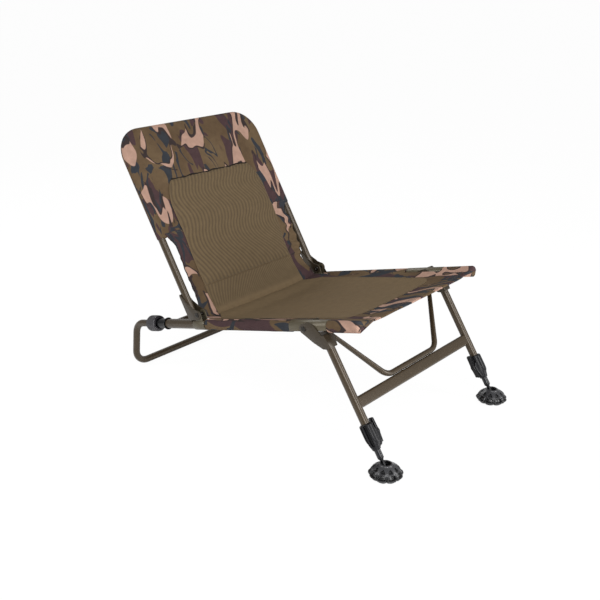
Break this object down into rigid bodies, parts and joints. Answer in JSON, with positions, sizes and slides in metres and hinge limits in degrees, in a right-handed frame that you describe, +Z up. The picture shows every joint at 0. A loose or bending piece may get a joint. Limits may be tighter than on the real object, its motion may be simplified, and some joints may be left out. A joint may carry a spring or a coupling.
{
  "type": "carp fishing chair",
  "caption": "Low folding fishing chair: fabric sling seat on tube rails, folding hoop back with padded mesh panel, telescopic front legs on swivel mud feet, sliding rear loop with twist locks.",
  "frame": {"origin": "on the ground under the middle of the chair's bounding box", "axes": "+Z is up, the sitter faces -Y, +X is the sitter's left"},
  "size_m": [0.5484, 0.9116, 0.6574],
  "materials": {
    "painted_tube": "semi-gloss olive brown paint on round steel tube",
    "painted_sheet": "semi-gloss olive brown paint on pressed sheet",
    "rivet": "painted domed rivet heads",
    "black_plastic": "matte moulded black",
    "gloss_plastic": "glossy moulded black",
    "black_tube": "black coated tube",
    "foot_rubber": "matte black",
    "camo_fabric": "woven woodland camouflage",
    "mesh_fabric": "olive brown ribbed mesh"
  },
  "bodies": {
    "seat_frame": {"seat_cover": "camo_fabric", "rail_right": "painted_tube", "rail_left": "painted_tube", "rail_cap_right": "black_plastic", "rail_cap_left": "black_plastic", "rear_spreader": "painted_tube", "rear_saddle_right": "painted_sheet", "rear_saddle_left": "painted_sheet", "front_saddle_right": "painted_sheet", "front_saddle_left": "painted_sheet", "collet_right": "gloss_plastic", "collet_left": "gloss_plastic"},
    "back": {"back_hoop": "painted_tube", "back_pocket": "camo_fabric", "back_pad": "mesh_fabric", "lower_back_panel": "mesh_fabric", "back_hinge_right": "painted_sheet", "back_hinge_left": "painted_sheet", "back_rivet_right": "rivet", "back_rivet_left": "rivet", "hoop_plug_right": "black_plastic", "hoop_plug_left": "black_plastic"},
    "front_legs": {"leg_crossbar": "painted_tube", "leg_brace": "painted_tube", "leg_hinge_right": "painted_sheet", "leg_hinge_left": "painted_sheet", "leg_rivet_right": "rivet", "leg_rivet_left": "rivet", "front_leg_right": "painted_tube", "front_leg_left": "painted_tube", "leg_plug_right": "black_plastic", "leg_plug_left": "black_plastic", "leg_lock_right": "black_plastic", "leg_lock_left": "black_plastic", "lever_pin_right": "rivet", "lever_pin_left": "rivet"},
    "rear_stand": {"rear_loop": "painted_tube"},
    "inner_leg_right": {"inner_leg_right": "black_tube", "foot_ball_right": "black_plastic"},
    "foot_right": {"mud_foot_right": "foot_rubber"},
    "lever_right": {"lock_lever_right": "black_plastic"},
    "nut_right": {"lock_nut_right": "black_plastic"},
    "inner_leg_left": {"inner_leg_left": "black_tube", "foot_ball_left": "black_plastic"},
    "foot_left": {"mud_foot_left": "foot_rubber"},
    "lever_left": {"lock_lever_left": "black_plastic"},
    "nut_left": {"lock_nut_left": "black_plastic"}
  },
  "joints": [
    {"name": "back_fold", "type": "hinge", "parent": "seat_frame", "child": "back", "pos_m": [0, 0.16387, 0.23201], "axis": [1, 0, 0], "range_deg": [0, 106]},
    {"name": "leg_fold", "type": "hinge", "parent": "seat_frame", "child": "front_legs", "pos_m": [0, -0.19167, 0.29535], "axis": [1, 0, 0], "range_deg": [0, 105]},
    {"name": "loop_slide", "type": "slide", "parent": "seat_frame", "child": "rear_stand", "axis": [0, 0.9674, -0.2531], "range_m": [0, 0.1]},
    {"name": "nut_turn_right", "type": "hinge", "parent": "seat_frame", "child": "nut_right", "pos_m": [-0.235, 0.34095, 0.15819], "axis": [0, 0.9674, -0.2531], "range_deg": [0, 120]},
    {"name": "leg_slide_right", "type": "slide", "parent": "front_legs", "child": "inner_leg_right", "axis": [0, -0.5476, -0.8368], "range_m": [0, 0.1]},
    {"name": "foot_tilt_right", "type": "hinge", "parent": "inner_leg_right", "child": "foot_right", "pos_m": [-0.235, -0.41655, 0.018], "axis": [1, 0, 0], "range_deg": [-12, 12]},
    {"name": "lever_squeeze_right", "type": "hinge", "parent": "front_legs", "child": "lever_right", "pos_m": [-0.21325, -0.37153, 0.08679], "axis": [0, -0.8368, 0.5476], "range_deg": [0, 12], "stiffness_Nm_per_rad": 0.5, "springref_deg": -8.59},
    {"name": "nut_turn_left", "type": "hinge", "parent": "seat_frame", "child": "nut_left", "pos_m": [0.235, 0.34095, 0.15819], "axis": [0, 0.9674, -0.2531], "range_deg": [0, 120]},
    {"name": "leg_slide_left", "type": "slide", "parent": "front_legs", "child": "inner_leg_left", "axis": [0, -0.5476, -0.8368], "range_m": [0, 0.1]},
    {"name": "foot_tilt_left", "type": "hinge", "parent": "inner_leg_left", "child": "foot_left", "pos_m": [0.235, -0.41655, 0.018], "axis": [1, 0, 0], "range_deg": [-12, 12]},
    {"name": "lever_squeeze_left", "type": "hinge", "parent": "front_legs", "child": "lever_left", "pos_m": [0.21325, -0.37153, 0.08679], "axis": [0, 0.8368, -0.5476], "range_deg": [0, 12], "stiffness_Nm_per_rad": 0.5, "springref_deg": -8.59}
  ]
}
